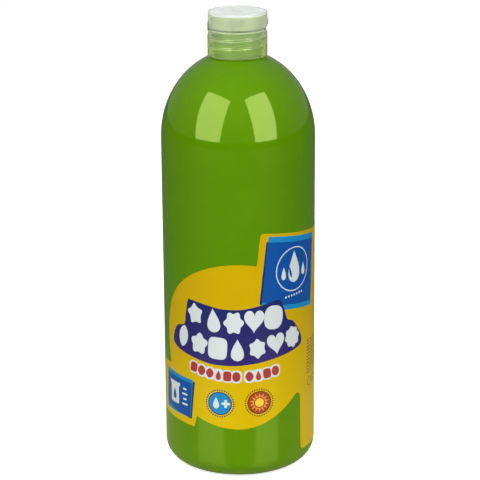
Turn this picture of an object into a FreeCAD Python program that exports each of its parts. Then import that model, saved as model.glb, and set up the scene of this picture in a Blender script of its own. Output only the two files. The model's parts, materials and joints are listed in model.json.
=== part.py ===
"""Squeeze bottle of ready-mixed paint with a flip-top screw closure.

Millimetres, +Z up. The origin is the middle of the ring that the bottle stands on. The front of
the label faces -Y, the thumb lip of the lid is at +X and the hinge of the lid is at -X.
The pieces are drawn closed: closure screwed home on the neck, lid shut on the closure.
"""
import FreeCAD, Part
import math
import os

# ---- Bottle: blow-moulded shell ------------------------------------------------------------
BODY_RADIUS = 41.0
WALL = 0.8
HEEL_RADIUS = 10.5           # rounding between the side and the base
SHOULDER_BASE = 181.4        # height at which the straight side ends
SHOULDER_RISE = 46.0         # height of the quarter ellipse that the shoulder is turned from
STAND_INNER_RADIUS = 26.0    # inside edge of the flat ring that the bottle stands on
PUSH_UP = 5.0                # height of the domed base above that ring, at its middle

# ---- Neck: 28 mm finish, one and a half turns of thread ------------------------------------
NECK_RADIUS = 12.5
NECK_BORE = 10.8             # radius of the mouth
NECK_HEIGHT = 13.2           # from the closure's lower edge to the mouth
NECK_FILLET = 1.0            # between the shoulder and the neck
LIP_RADIUS = 0.5             # rounded outer edge of the mouth
THREAD_PITCH = 25.4 / 6.0
THREAD_TURNS = 1.5
THREAD_HEIGHT = 1.2          # how far the thread stands out of the neck
THREAD_ROOT_WIDTH = 2.2
THREAD_CREST_WIDTH = 0.9
THREAD_SINK = 0.3            # how far each thread's root goes into its wall
THREAD_TOP_DROP = 1.4        # from the mouth down to the middle of the thread's upper end
THREAD_TOP_ANGLE = -54.0     # where that end lies, in degrees from +X

# ---- Closure base: threaded skirt, deck and nozzle -----------------------------------------
SKIRT_WALL = 1.79
SKIRT_CLEARANCE = 0.1        # between the skirt's inner edge and the shoulder
SKIRT_LEAD_IN = 0.5          # chamfer that guides the neck into the skirt
THREAD_CLEARANCE = 0.25      # between each thread's crest and the wall it faces
THREAD_FLANK_GAP = 0.15      # between the flanks that pull the closure down
CAP_THREAD_TURNS = 1.75
CAP_THREAD_ROOT_WIDTH = 1.9
CAP_THREAD_CREST_WIDTH = 0.7
DECK_THICKNESS = 1.2
NOZZLE_RADIUS = 4.6
NOZZLE_HEIGHT = 3.4
NOZZLE_FOOT = 0.8            # fillet between the nozzle and the deck
NOZZLE_EDGE = 0.5            # rounded top edge of the nozzle
ORIFICE_RADIUS = 2.8
ORIFICE_CHAMFER = 0.4
SEAT_HEIGHT = 1.0            # raised ring that centres the lid
SEAT_WIDTH = 0.9
SEAT_CLEARANCE = 0.3         # between that ring and the lid
SCOOP_RADIUS = 6.0           # finger scoop under the thumb lip
SCOOP_DEPTH = 1.1
EDGE = 0.3                   # broken edges of the closure

# ---- Sealing washer ------------------------------------------------------------------------
LINER_THICKNESS = 0.9
LINER_HOLE = 9.0             # radius of its hole
LINER_GAP = 0.03             # above it and below it
LINER_SIDE_GAP = 0.2         # between its edge and the skirt

# ---- Lid -----------------------------------------------------------------------------------
LID_HEIGHT = 8.0
LID_WALL = 1.3
LID_TOP = 1.2
LID_EDGE = 1.0               # rounded edge of the lid's top
LID_GAP = 0.05               # between the closed lid and the deck
PLUG_CLEARANCE = 0.05        # between the plug and the orifice
PLUG_WALL = 0.9
PLUG_DEPTH = 1.5             # how far the plug reaches below the nozzle's top
PLUG_LAND = 0.15             # straight stretch of the plug below the orifice's chamfer
PLUG_TAPER = 0.4             # how much thinner the plug is at its tip
LIP_REACH = 0.5              # how far the thumb lip stands out
LIP_BOTTOM = 0.9             # above the lid's rim
LIP_HEIGHT = 4.0
LIP_ANGLE = 52.0             # how much of the lid's round the lip takes

# ---- Living hinge --------------------------------------------------------------------------
FLAT_DEPTH = 0.44            # flat on the closure and the lid that the hinge lies on
FLAT_HEIGHT = 4.6            # how far the flat runs down the closure
WEB_THICKNESS = 0.35
WEB_WAIST = 0.2              # thickness of the web where it folds
WEB_WIDTH = 6.8
WEB_REACH = 1.9              # above and below the fold
WEB_GROOVE_RADIUS = 0.5

# ---- Paint ---------------------------------------------------------------------------------
FILL_ABOVE_SHOULDER = 20.2   # level of one litre, above the base of the shoulder
FILL_CLEARANCE = 0.05        # between the paint and the shell

# ---- Label: a thin film, one die-cut piece wrapped round the straight side -----------------
# Distances round the body are taken along its surface from the middle of the front.
FILM_THICKNESS = 0.1
FILM_GAP = 0.05              # adhesive between the film and the shell
LABEL_RIGHT = 150.0          # distance round the body to the label's straight end at the back
LABEL_TOP = 133.8            # height of the label's top edge at that end
LABEL_BOTTOM = 11.0
TILE_LEFT = -56.0            # distance round the body to the square tab at the label's other end
TILE_TOP = 59.2
TILE_BOTTOM = 30.4

# ---- Sizes that follow ---------------------------------------------------------------------
SKIRT_BORE = NECK_RADIUS + THREAD_HEIGHT + THREAD_CLEARANCE
CAP_RADIUS = SKIRT_BORE + SKIRT_WALL
LID_BORE = CAP_RADIUS - LID_WALL
SEAT_RADIUS = LID_BORE - SEAT_CLEARANCE
PLUG_RADIUS = ORIFICE_RADIUS - PLUG_CLEARANCE
STAND_RADIUS = BODY_RADIUS - HEEL_RADIUS


def shoulder_height(radius, inset=0.0):
    """Height of the shoulder's ellipse at a distance from the axis, on the skin or inset from it."""
    share = radius / (BODY_RADIUS - inset)
    return SHOULDER_BASE + (SHOULDER_RISE - inset) * math.sqrt(1.0 - share * share)


SKIRT_BOTTOM = shoulder_height(SKIRT_BORE) + SKIRT_CLEARANCE
MOUTH = SKIRT_BOTTOM + NECK_HEIGHT
LINER_BOTTOM = MOUTH + LINER_GAP
DECK_BOTTOM = LINER_BOTTOM + LINER_THICKNESS + LINER_GAP
DECK = DECK_BOTTOM + DECK_THICKNESS
NOZZLE_TOP = DECK + NOZZLE_HEIGHT
LID_RIM = DECK + LID_GAP
LID_CROWN = DECK + LID_HEIGHT
LID_CEILING = LID_CROWN - LID_TOP
HINGE_FLAT = -(CAP_RADIUS - FLAT_DEPTH)
HINGE_X = HINGE_FLAT - WEB_THICKNESS + WEB_WAIST / 2.0


# ---- Drawing helpers -----------------------------------------------------------------------
def point(r, z):
    """A point of a profile: distance from the axis and height."""
    return FreeCAD.Vector(r, 0.0, z)


def lines(*corners):
    """Straight edges from corner to corner."""
    places = [point(*corner) for corner in corners]
    return [Part.LineSegment(a, b).toShape() for a, b in zip(places, places[1:])]


def round_edge(centre, radius, start, end):
    """An arc of a profile about a centre, between two directions in degrees from the radial one."""
    def at(degrees):
        turn = math.radians(degrees)
        return point(centre[0] + radius * math.cos(turn), centre[1] + radius * math.sin(turn))
    return [Part.Arc(at(start), at((start + end) / 2.0), at(end)).toShape()]


def shoulder_edge(inset, lower, upper):
    """The shoulder's ellipse, inset from the skin, between two distances from the axis. Its angles
    are counted from its longer half-axis, which is the upright one on a slender bottle."""
    across = BODY_RADIUS - inset
    rise = SHOULDER_RISE - inset
    top = point(0, SHOULDER_BASE + rise)
    side = point(across, SHOULDER_BASE)
    slender = rise > across
    longer, shorter = (top, side) if slender else (side, top)
    angle = math.asin if slender else math.acos
    ellipse = Part.Ellipse(longer, shorter, point(0, SHOULDER_BASE))
    return [Part.ArcOfEllipse(ellipse, *sorted(angle(r / across) for r in (lower, upper))).toShape()]


def dome_edge(lift):
    """The base's dome, level at the axis and sinking to the standing ring."""
    curve = (STAND_INNER_RADIUS ** 2 + PUSH_UP ** 2) / (2.0 * PUSH_UP)
    half = STAND_INNER_RADIUS / 2.0
    drop = curve - math.sqrt(curve * curve - half * half)
    return [Part.Arc(point(0, PUSH_UP + lift), point(half, PUSH_UP + lift - drop),
                     point(STAND_INNER_RADIUS, lift)).toShape()]


def turned(edges):
    """The solid turned from a closed profile."""
    profile = Part.Wire(Part.__sortEdges__(edges))
    return Part.Face(profile).revolve(FreeCAD.Vector(), FreeCAD.Vector(0, 0, 1), 360)


def thread(wall, stand_out, root_width, crest_width, turns, middle, angle):
    """A right-handed ridge on a cylindrical wall: stand_out is negative on the inside of one.
    middle is the height of its lower end's middle, and angle is where that end lies."""
    slope = (root_width - crest_width) / 2.0 * THREAD_SINK / abs(stand_out)
    root = root_width / 2.0 + slope
    crest = crest_width / 2.0
    inner = wall - math.copysign(THREAD_SINK, stand_out)
    outer = wall + stand_out
    section = Part.makePolygon([point(inner, -root), point(outer, -crest), point(outer, crest),
                                point(inner, root), point(inner, -root)])
    path = Part.makeHelix(THREAD_PITCH, THREAD_PITCH * turns, wall)
    ridge = Part.Wire(path).makePipeShell([section], True, True)
    ridge.rotate(FreeCAD.Vector(), FreeCAD.Vector(0, 0, 1), angle)
    ridge.translate(point(0, middle))
    return ridge


# ---- Pieces --------------------------------------------------------------------------------
def thread_start():
    """Height and angle of the lower end of the neck's thread."""
    height = MOUTH - THREAD_TOP_DROP - THREAD_PITCH * THREAD_TURNS
    return height, THREAD_TOP_ANGLE - 360.0 * THREAD_TURNS


def cavity(inset):
    """The shell's inner surface from the standing ring up to the shoulder's base."""
    across = BODY_RADIUS - inset
    return (lines((STAND_INNER_RADIUS, inset), (STAND_RADIUS, inset))
            + round_edge((STAND_RADIUS, HEEL_RADIUS), HEEL_RADIUS - inset, -90, 0)
            + lines((across, HEEL_RADIUS), (across, SHOULDER_BASE)))


def bottle():
    """The shell, with its neck and thread."""
    foot = NECK_RADIUS + NECK_FILLET
    foot_height = shoulder_height(foot)
    inner_foot = shoulder_height(NECK_BORE, WALL)
    outside = (dome_edge(0) + cavity(0) + shoulder_edge(0, BODY_RADIUS, foot)
               + round_edge((foot, foot_height + NECK_FILLET), NECK_FILLET, 180, 270)
               + lines((NECK_RADIUS, foot_height + NECK_FILLET), (NECK_RADIUS, MOUTH - LIP_RADIUS))
               + round_edge((NECK_RADIUS - LIP_RADIUS, MOUTH - LIP_RADIUS), LIP_RADIUS, 0, 90))
    mouth = lines((NECK_RADIUS - LIP_RADIUS, MOUTH), (NECK_BORE, MOUTH), (NECK_BORE, inner_foot))
    inside = shoulder_edge(WALL, BODY_RADIUS - WALL, NECK_BORE) + cavity(WALL) + dome_edge(WALL)
    axis = lines((0, PUSH_UP), (0, PUSH_UP + WALL))
    height, angle = thread_start()
    ridge = thread(NECK_RADIUS, THREAD_HEIGHT, THREAD_ROOT_WIDTH, THREAD_CREST_WIDTH,
                   THREAD_TURNS, height, angle)
    return turned(outside + mouth + inside + axis).fuse(ridge)


def paint_fill():
    """One litre of paint, filling the shell to a level in the shoulder."""
    inset = WALL + FILL_CLEARANCE
    level = SHOULDER_BASE + FILL_ABOVE_SHOULDER
    rise = SHOULDER_RISE - inset
    across = BODY_RADIUS - inset
    edge = across * math.sqrt(1.0 - (FILL_ABOVE_SHOULDER / rise) ** 2)
    return turned(dome_edge(inset) + cavity(inset) + shoulder_edge(inset, across, edge)
                  + lines((edge, level), (0, level), (0, PUSH_UP + inset)))


def label_outline():
    """The die-cut outline: a round-sided panel on the front, a square tab at its left, and a
    straight band that goes on round the back. Each stretch is a list of points, joined by a
    straight line if there are two and by a smooth curve if there are more."""
    panel_left = [(-45.6, 59.9), (-47.8, 74.0), (-43.4, 97.0), (-25.0, 115.2), (-7.0, 121.3),
                  (9.4, 120.6)]
    upper_step = [(9.4, 120.6), (11.2, 136.0)]
    upper_corner = [(11.2, 136.0), (11.9, 137.6), (13.7, 138.1)]
    top_slope = [(13.7, 138.1), (50.0, LABEL_TOP)]
    top = [(50.0, LABEL_TOP), (LABEL_RIGHT, LABEL_TOP)]
    back_end = [(LABEL_RIGHT, LABEL_TOP), (LABEL_RIGHT, LABEL_BOTTOM)]
    bottom = [(LABEL_RIGHT, LABEL_BOTTOM), (40.4, LABEL_BOTTOM)]
    lower_corner = [(40.4, LABEL_BOTTOM), (38.8, 11.7), (38.1, 13.4)]
    lower_step = [(38.1, 13.4), (37.4, 42.6)]
    spike = [(37.4, 42.6), (35.6, 45.2), (32.5, 44.2)]
    panel_bottom = [(32.5, 44.2), (20.0, 35.6), (5.0, 30.2), (-10.0, 30.6), (-24.4, 35.0)]
    tab_notch = [(-24.4, 35.0), (-26.2, 28.4)]
    tab_bottom = [(-26.2, 28.4), (TILE_LEFT, TILE_BOTTOM)]
    tab_left = [(TILE_LEFT, TILE_BOTTOM), (TILE_LEFT, TILE_TOP)]
    tab_top = [(TILE_LEFT, TILE_TOP), (-45.6, 59.9)]
    return [panel_left, upper_step, upper_corner, top_slope, top, back_end, bottom, lower_corner,
            lower_step, spike, panel_bottom, tab_notch, tab_bottom, tab_left, tab_top]


def rolled_edge(stretch, roll, start):
    """A stretch of the outline laid on the cylinder: a smooth curve is drawn flat, at its real
    size, and its poles are then carried over, so the film's shape is the one it was cut to."""
    def on_roll(u, v):
        return FreeCAD.Base.Vector2d((u - start) / roll.Radius, v)
    if len(stretch) == 2:
        return Part.Geom2d.Line2dSegment(on_roll(*stretch[0]), on_roll(*stretch[1])).toShape(roll)
    flat = Part.BSplineCurve()
    flat.interpolate([FreeCAD.Vector(u, v, 0) for u, v in stretch])
    curve = Part.Geom2d.BSplineCurve2d()
    curve.buildFromPolesMultsKnots([on_roll(pole.x, pole.y) for pole in flat.getPoles()],
                                   flat.getMultiplicities(), flat.getKnots(), False, flat.Degree)
    return curve.toShape(roll)


def wrap_label():
    """The film: the outline rolled onto a cylinder, then thickened."""
    roll = Part.Cylinder()
    roll.Radius = BODY_RADIUS + FILM_GAP
    around = 2.0 * math.pi * roll.Radius
    start = (LABEL_RIGHT + TILE_LEFT - around) / 2.0
    edges = [rolled_edge(stretch, roll, start) for stretch in label_outline()]
    outline = Part.Wire(Part.__sortEdges__(edges))
    film = Part.Face(roll, outline).makeOffsetShape(FILM_THICKNESS, 0.001, fill=True)
    film.rotate(FreeCAD.Vector(), FreeCAD.Vector(0, 0, 1), math.degrees(start / roll.Radius) - 90.0)
    return film


def liner_washer():
    """The foam washer that seals the mouth against the deck."""
    radius = SKIRT_BORE - LINER_SIDE_GAP
    top = LINER_BOTTOM + LINER_THICKNESS
    return turned(lines((LINER_HOLE, LINER_BOTTOM), (radius, LINER_BOTTOM), (radius, top),
                        (LINER_HOLE, top), (LINER_HOLE, LINER_BOTTOM)))


def hinge_side(bottom, top):
    """What is cut away, between two heights, to leave the flat that the hinge lies on."""
    size = 2.0 * CAP_RADIUS
    return Part.makeBox(size, size, top - bottom,
                        FreeCAD.Vector(HINGE_FLAT - size, -size / 2.0, bottom))


def closure_base():
    """Threaded skirt, deck and nozzle, with the ring that centres the lid."""
    skirt = lines((SKIRT_BORE, DECK_BOTTOM), (SKIRT_BORE, SKIRT_BOTTOM + SKIRT_LEAD_IN),
                  (SKIRT_BORE + SKIRT_LEAD_IN, SKIRT_BOTTOM), (CAP_RADIUS - EDGE, SKIRT_BOTTOM),
                  (CAP_RADIUS, SKIRT_BOTTOM + EDGE), (CAP_RADIUS, DECK - EDGE),
                  (CAP_RADIUS - EDGE, DECK), (SEAT_RADIUS, DECK), (SEAT_RADIUS, DECK + SEAT_HEIGHT),
                  (SEAT_RADIUS - SEAT_WIDTH, DECK + SEAT_HEIGHT), (SEAT_RADIUS - SEAT_WIDTH, DECK),
                  (NOZZLE_RADIUS + NOZZLE_FOOT, DECK))
    nozzle = (round_edge((NOZZLE_RADIUS + NOZZLE_FOOT, DECK + NOZZLE_FOOT), NOZZLE_FOOT, 270, 180)
              + lines((NOZZLE_RADIUS, DECK + NOZZLE_FOOT), (NOZZLE_RADIUS, NOZZLE_TOP - NOZZLE_EDGE))
              + round_edge((NOZZLE_RADIUS - NOZZLE_EDGE, NOZZLE_TOP - NOZZLE_EDGE), NOZZLE_EDGE, 0, 90)
              + lines((NOZZLE_RADIUS - NOZZLE_EDGE, NOZZLE_TOP),
                      (ORIFICE_RADIUS + ORIFICE_CHAMFER, NOZZLE_TOP),
                      (ORIFICE_RADIUS, NOZZLE_TOP - ORIFICE_CHAMFER), (ORIFICE_RADIUS, DECK_BOTTOM),
                      (SKIRT_BORE, DECK_BOTTOM)))
    shell = turned(skirt + nozzle)
    scoop = Part.makeCylinder(SCOOP_RADIUS, 2.0 * CAP_RADIUS,
                              FreeCAD.Vector(CAP_RADIUS + SCOOP_RADIUS - SCOOP_DEPTH, -CAP_RADIUS, DECK),
                              FreeCAD.Vector(0, 1, 0))
    flat = hinge_side(DECK - FLAT_HEIGHT, DECK + LID_GAP)
    return shell.cut(scoop).cut(flat).fuse(cap_thread())


def cap_thread():
    """The closure's thread, which pulls up against the underside of the neck's thread."""
    height, angle = thread_start()
    neck_half = (THREAD_ROOT_WIDTH + THREAD_CREST_WIDTH) / 4.0
    cap_half = (CAP_THREAD_ROOT_WIDTH + CAP_THREAD_CREST_WIDTH) / 4.0
    drop = neck_half + cap_half + THREAD_FLANK_GAP
    return thread(SKIRT_BORE, -THREAD_HEIGHT, CAP_THREAD_ROOT_WIDTH, CAP_THREAD_CREST_WIDTH,
                  CAP_THREAD_TURNS, height - drop, angle)


def thumb_lip():
    """The shallow ledge on the lid that a thumb pushes up."""
    bottom = LID_RIM + LIP_BOTTOM
    reach = CAP_RADIUS + LIP_REACH
    ledge = Part.Wire(lines((LID_BORE + LID_WALL / 2.0, bottom), (CAP_RADIUS, bottom),
                            (reach, bottom + LIP_REACH), (reach, bottom + LIP_HEIGHT / 2.0),
                            (CAP_RADIUS, bottom + LIP_HEIGHT),
                            (LID_BORE + LID_WALL / 2.0, bottom + LIP_HEIGHT),
                            (LID_BORE + LID_WALL / 2.0, bottom)))
    lip = Part.Face(ledge).revolve(FreeCAD.Vector(), FreeCAD.Vector(0, 0, 1), LIP_ANGLE)
    lip.rotate(FreeCAD.Vector(), FreeCAD.Vector(0, 0, 1), -LIP_ANGLE / 2.0)
    return lip


def flip_lid():
    """The lid, with the plug that shuts the orifice."""
    plug_bore = PLUG_RADIUS - PLUG_WALL
    tip = NOZZLE_TOP - PLUG_DEPTH
    land = NOZZLE_TOP - ORIFICE_CHAMFER - PLUG_LAND
    outside = (lines((LID_BORE, LID_RIM), (CAP_RADIUS - EDGE, LID_RIM), (CAP_RADIUS, LID_RIM + EDGE),
                     (CAP_RADIUS, LID_CROWN - LID_EDGE))
               + round_edge((CAP_RADIUS - LID_EDGE, LID_CROWN - LID_EDGE), LID_EDGE, 0, 90)
               + lines((CAP_RADIUS - LID_EDGE, LID_CROWN), (0, LID_CROWN), (0, LID_CEILING)))
    plug = lines((0, LID_CEILING), (plug_bore, LID_CEILING), (plug_bore, tip),
                 (PLUG_RADIUS - PLUG_TAPER, tip), (PLUG_RADIUS, land), (PLUG_RADIUS, LID_CEILING))
    inside = lines((PLUG_RADIUS, LID_CEILING), (LID_BORE, LID_CEILING), (LID_BORE, LID_RIM))
    shell = turned(outside + plug + inside).fuse(thumb_lip())
    return shell.cut(hinge_side(LID_RIM - LID_GAP, LID_CROWN + LID_GAP))


def hinge_web():
    """The living hinge: a strap on the two flats, thinned where it folds."""
    strap = Part.makeBox(WEB_THICKNESS, WEB_WIDTH, 2.0 * WEB_REACH,
                         FreeCAD.Vector(HINGE_FLAT - WEB_THICKNESS, -WEB_WIDTH / 2.0, DECK - WEB_REACH))
    groove_depth = WEB_THICKNESS - WEB_WAIST
    groove = Part.makeCylinder(WEB_GROOVE_RADIUS, WEB_WIDTH,
                               FreeCAD.Vector(HINGE_FLAT + WEB_GROOVE_RADIUS - groove_depth,
                                              -WEB_WIDTH / 2.0, DECK),
                               FreeCAD.Vector(0, 1, 0))
    return strap.cut(groove)


NODES = {
    "bottle": bottle,
    "paint_fill": paint_fill,
    "wrap_label": wrap_label,
    "liner_washer": liner_washer,
    "closure_base": closure_base,
    "hinge_web": hinge_web,
    "flip_lid": flip_lid,
}

os.makedirs("parts", exist_ok=True)
for name, make in NODES.items():
    shape = make()
    solids = len(shape.Solids)
    print(name, "solids", solids, "valid", shape.isValid(), "volume", round(shape.Volume, 1))
    shape.exportStep("parts/" + name + ".step")
print("hinge axis x", round(HINGE_X, 4), "z", round(DECK, 4), "crown", round(LID_CROWN, 3))
print("mouth", round(MOUTH, 3), "skirt bottom", round(SKIRT_BOTTOM, 3), "cap radius", round(CAP_RADIUS, 3))
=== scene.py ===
"""The visible pieces of a one-litre squeeze bottle of green poster paint, built round its frame.

Metres, +Z up, the label's front towards -Y, the lid's thumb lip at +X and its hinge at -X.
"""
import json
import math

import bpy
import numpy as np
from mathutils import Matrix, Vector


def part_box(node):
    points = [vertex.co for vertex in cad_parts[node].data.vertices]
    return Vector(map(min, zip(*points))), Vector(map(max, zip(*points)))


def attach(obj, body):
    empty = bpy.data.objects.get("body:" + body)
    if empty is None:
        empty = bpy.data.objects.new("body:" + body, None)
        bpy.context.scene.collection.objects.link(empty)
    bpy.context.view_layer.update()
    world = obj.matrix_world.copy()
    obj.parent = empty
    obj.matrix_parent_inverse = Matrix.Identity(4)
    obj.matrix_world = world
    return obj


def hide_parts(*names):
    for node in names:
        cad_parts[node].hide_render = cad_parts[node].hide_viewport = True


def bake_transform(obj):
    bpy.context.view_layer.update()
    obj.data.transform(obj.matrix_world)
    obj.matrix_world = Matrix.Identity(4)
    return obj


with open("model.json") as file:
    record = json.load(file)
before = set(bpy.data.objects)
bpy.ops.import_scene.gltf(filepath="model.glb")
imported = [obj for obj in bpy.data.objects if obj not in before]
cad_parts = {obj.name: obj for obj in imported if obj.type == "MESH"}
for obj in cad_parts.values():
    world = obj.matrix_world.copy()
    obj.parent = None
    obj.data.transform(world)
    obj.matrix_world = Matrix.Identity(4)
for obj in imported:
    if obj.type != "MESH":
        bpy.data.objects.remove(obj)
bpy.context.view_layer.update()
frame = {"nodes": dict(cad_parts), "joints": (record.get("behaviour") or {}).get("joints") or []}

bl_info = {
    "name": "Paint Squeeze Bottle",
    "version": (1, 0, 0),
    "blender": (4, 5, 0),
    "location": "View3D > Sidebar > Paint Bottle",
    "description": "Builds a squeeze bottle of paint with its label and flip-top closure",
    "category": "Add Mesh",
}

MM = 0.001

# ---- Places read from the frame ----
BOTTLE_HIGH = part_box("bottle")[1]
FILL_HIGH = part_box("paint_fill")[1]
FILM_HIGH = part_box("wrap_label")[1]
LINER_LOW, LINER_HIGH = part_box("liner_washer")
CLOSURE_LOW, CLOSURE_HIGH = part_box("closure_base")
LID_LOW, LID_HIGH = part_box("flip_lid")
WEB_LOW, WEB_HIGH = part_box("hinge_web")
BODY_RADIUS = BOTTLE_HIGH.x
MOUTH = BOTTLE_HIGH.z
SKIRT_BOTTOM = CLOSURE_LOW.z
NOZZLE_TOP = CLOSURE_HIGH.z
CAP_RADIUS = CLOSURE_HIGH.y
HINGE_FLAT = LID_LOW.x
LID_RIM = LID_LOW.z
LID_CROWN = LID_HIGH.z
LINER_RADIUS = LINER_HIGH.x
HINGE = next(Vector(j["pos_m"]) for j in frame["joints"] if j["name"] == "lid_flip")
DECK = HINGE.z
WRAP_RADIUS = FILM_HIGH.x

# ---- Sizes of the moulded pieces ----
WALL = 0.8 * MM
HEEL_RADIUS = 10.5 * MM
SHOULDER_BASE = 181.4 * MM
SHOULDER_RISE = 46.0 * MM
STAND_INNER_RADIUS = 26.0 * MM
PUSH_UP = 5.0 * MM
PAINT_GAP = 0.05 * MM
SEAM_WIDTH = 0.5 * MM
NECK_RADIUS = 12.5 * MM
NECK_BORE = 10.8 * MM
NECK_FILLET = 1.0 * MM
MOUTH_EDGE = 0.5 * MM
THREAD_PITCH = 25.4 / 6.0 * MM
THREAD_TURNS = 1.5
THREAD_FADE = 1.0 / 12.0
THREAD_HEIGHT = 1.2 * MM
THREAD_ROOT = 2.2 * MM
THREAD_CREST = 0.9 * MM
THREAD_TOP_DROP = 1.4 * MM
THREAD_TOP_ANGLE = math.radians(-54.0)
CAP_THREAD_TURNS = 1.75
CAP_THREAD_ROOT = 1.9 * MM
CAP_THREAD_CREST = 0.7 * MM
CAP_THREAD_DROP = 1.575 * MM
SKIRT_BORE = 13.95 * MM
SKIRT_LEAD_IN = 0.5 * MM
DECK_BOTTOM = LINER_HIGH.z + 0.03 * MM
NOZZLE_RADIUS = 4.6 * MM
NOZZLE_FOOT = 0.8 * MM
NOZZLE_EDGE = 0.5 * MM
STAIN_RADIUS, STAIN_FADE = 5.0 * MM, 1.5 * MM
ORIFICE_RADIUS = 2.8 * MM
ORIFICE_CHAMFER = 0.4 * MM
SEAT_RADIUS = 14.14 * MM
SEAT_HEIGHT = 1.0 * MM
SEAT_WIDTH = 0.9 * MM
SCOOP_RADIUS = 6.0 * MM
SCOOP_DEPTH = 1.1 * MM
LID_BORE = 14.44 * MM
LID_TOP = 1.2 * MM
LID_EDGE = 1.0 * MM
LID_CORNER = 0.6 * MM
GATE_RADIUS = 1.2 * MM
PLUG_RADIUS = 2.75 * MM
PLUG_BORE = 1.85 * MM
PLUG_TIP = NOZZLE_TOP - 1.5 * MM
PLUG_LAND = NOZZLE_TOP - 0.55 * MM
PLUG_TAPER = 0.4 * MM
LIP_REACH = 0.5 * MM
LIP_BOTTOM = LID_RIM + 0.9 * MM
LIP_HEIGHT = 4.0 * MM
LIP_HALF_ANGLE = math.radians(26.0)
LIP_FADE = math.radians(4.0)
LINER_HOLE = 9.0 * MM
WEB_WAIST = 0.2 * MM
HINGE_FLAT_DROP = 2.7 * MM
MENISCUS_HEIGHT = 1.2 * MM
MENISCUS_REACH = 1.5 * MM
WEB_GROOVE_RADIUS = 0.5 * MM
STRAP_HOLD = 0.15 * MM
STRAP_ROWS = 41
EDGE = 0.3 * MM
FINE_EDGE = 0.1 * MM
RIM_EDGE = 0.12 * MM
SEAT_EDGE = 0.25 * MM
PLUG_EDGE = 0.15 * MM

# ---- Ink on the label: thin layers, one over another ----
INK_THICKNESS = 0.006 * MM
INK_STEP = 0.011 * MM
INK_CLEARANCE = 0.008 * MM
INK_LAYERS = 5
INK_CRISP = math.radians(30.0)
FILM_RADIUS = WRAP_RADIUS - INK_CLEARANCE - (INK_LAYERS - 1) * INK_STEP - INK_THICKNESS

# Diameters of a badge, the radius of its ring of dots and their count, in millimetres.
BADGE_RIM, BADGE_FACE, BADGE_DOT = 13.2, 12.2, 0.85
BADGE_RING, BADGE_DOTS = 7.6, 36


# ==== Surfaces ====
def grid(places, loop_rows=False, first_pole=None, last_pole=None):
    """Points, quads and triangles of a grid of places, rows by columns by 3. Columns close on
    themselves, and rows too if loop_rows. A pole is one more point, joined to all of the first or
    last row. The faces point outwards, by the sign of the volume that they enclose."""
    rows, columns = places.shape[:2]
    points = places.reshape(-1, 3)
    index = np.arange(rows * columns).reshape(rows, columns)
    lower = index if loop_rows else index[:-1]
    upper = np.roll(index, -1, axis=0) if loop_rows else index[1:]
    quads = np.stack([lower, np.roll(lower, -1, 1), np.roll(upper, -1, 1), upper], -1).reshape(-1, 4)
    fans = []
    for pole, row, order in ((first_pole, index[0], -1), (last_pole, index[-1], 1)):
        if pole is not None:
            middle = np.full(columns, len(points))
            points = np.vstack([points, np.asarray(pole, float)[None]])
            fans.append(np.stack([row, np.roll(row, -1), middle], -1)[:, ::order])
    triangles = np.vstack(fans) if fans else np.empty((0, 3), int)
    corners = np.vstack([quads[:, [0, 1, 2]], quads[:, [0, 2, 3]], triangles])
    a, b, c = (points[corners[:, i]] for i in range(3))
    if np.einsum("ij,ij->i", a, np.cross(b, c)).sum() < 0:
        quads, triangles = quads[:, ::-1], triangles[:, ::-1]
    return points, quads, triangles


def make_piece(name, grids, material, body, crisp=None):
    """One mesh object from several (points, quads, triangles) sets, riding on a body if one is
    given. Edges that turn by more than the angle crisp stay sharp."""
    points, loops, counts, start = [], [], [], 0
    for some_points, quads, triangles in grids:
        points.append(some_points)
        loops += [(quads + start).ravel(), (triangles + start).ravel()]
        counts += [np.full(len(quads), 4), np.full(len(triangles), 3)]
        start += len(some_points)
    points, loops, counts = np.vstack(points), np.concatenate(loops), np.concatenate(counts)
    mesh = bpy.data.meshes.new(name)
    mesh.vertices.add(len(points))
    mesh.vertices.foreach_set("co", points.ravel())
    mesh.loops.add(len(loops))
    mesh.loops.foreach_set("vertex_index", loops)
    mesh.polygons.add(len(counts))
    mesh.polygons.foreach_set("loop_start", np.concatenate([[0], np.cumsum(counts)[:-1]]))
    mesh.polygons.foreach_set("use_smooth", np.ones(len(counts), bool))
    mesh.materials.append(material)
    mesh.update(calc_edges=True)
    mesh.validate()
    if crisp:
        mesh.set_sharp_from_angle(angle=crisp)
    piece = bpy.data.objects.new(name, mesh)
    bpy.context.scene.collection.objects.link(piece)
    if body:
        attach(piece, body)
    return piece


def angles(columns):
    """Even angles round the axis, measured from +X."""
    return np.arange(columns) * (2.0 * math.pi / columns)


def turned(radius, height, columns):
    """Places of a turned surface: radius and height hold one value per row, or one per place."""
    theta = angles(columns)[None, :]
    radius, height = (np.broadcast_to(a.reshape(len(a), -1), (len(a), columns))
                      for a in (radius, height))
    return np.stack([radius * np.cos(theta), radius * np.sin(theta), height], -1)


def arc(centre, radius, start, end, steps):
    """Points of a circular arc, centre + radius (cos a, sin a), with a from start to end degrees."""
    a = np.radians(np.linspace(start, end, steps))
    return np.stack([centre[0] + radius * np.cos(a), centre[1] + radius * np.sin(a)], -1)


def shoulder(inset, lower, upper, steps):
    """Points of the shoulder's quarter ellipse, inset from the skin, between two distances from
    the axis: (across sin a, rise cos a), with a even between the two ends."""
    across, rise = BODY_RADIUS - inset, SHOULDER_RISE - inset
    a = np.linspace(math.asin(lower / across), math.asin(upper / across), steps)
    return np.stack([across * np.sin(a), SHOULDER_BASE + rise * np.cos(a)], -1)


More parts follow.
